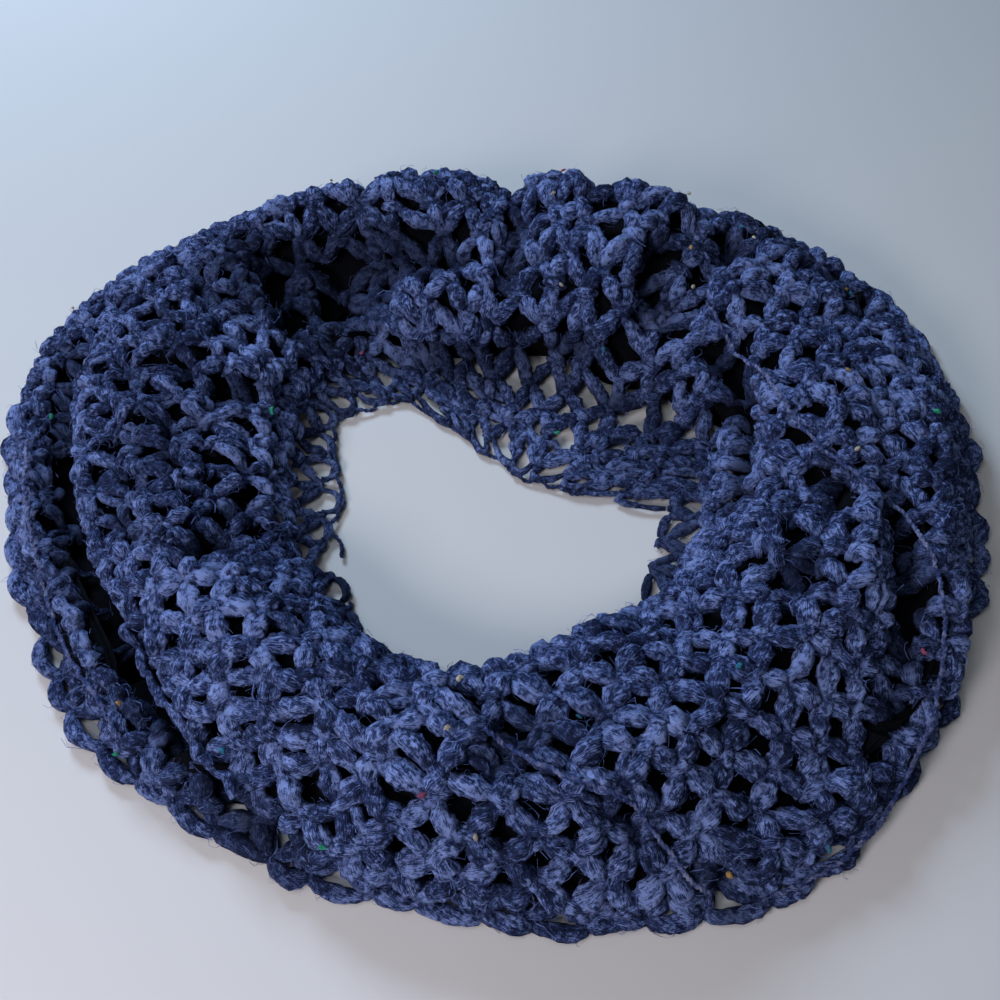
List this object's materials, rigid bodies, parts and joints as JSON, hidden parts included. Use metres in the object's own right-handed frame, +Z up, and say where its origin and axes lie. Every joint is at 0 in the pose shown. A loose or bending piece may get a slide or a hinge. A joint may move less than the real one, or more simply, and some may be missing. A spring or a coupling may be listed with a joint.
{
  "type": "infinity scarf",
  "caption": "Infinity scarf of chunky navy openwork knit, dropped in a loose oval ring with a flat hem inside and a soft roll around it.",
  "frame": {"origin": "on the surface that the scarf lies on, under the middle of its outline", "axes": "+Z up, +X towards the right end of the ring as the picture shows it, +Y away from the viewer"},
  "size_m": [0.532, 0.4671, 0.0753],
  "materials": {
    "knit": "matte, softly fuzzy slub roving",
    "knit_underlap": "matte, softly fuzzy slub roving",
    "knit_inner": "matte, softly fuzzy slub roving in shade"
  },
  "bodies": {
    "root": {"upper_right": "knit", "upper_back_right": "knit", "upper_back": "knit", "upper_back_left": "knit", "upper_left": "knit", "upper_front_left": "knit", "upper_front": "knit", "upper_front_right": "knit", "lower_right": "knit_underlap", "lower_back_right": "knit_underlap", "lower_back": "knit_underlap", "lower_back_left": "knit_underlap", "lower_left": "knit_underlap", "lower_front_left": "knit_underlap", "lower_front": "knit_underlap", "lower_front_right": "knit_underlap", "hidden_layers": "knit_inner"}
  },
  "joints": []
}
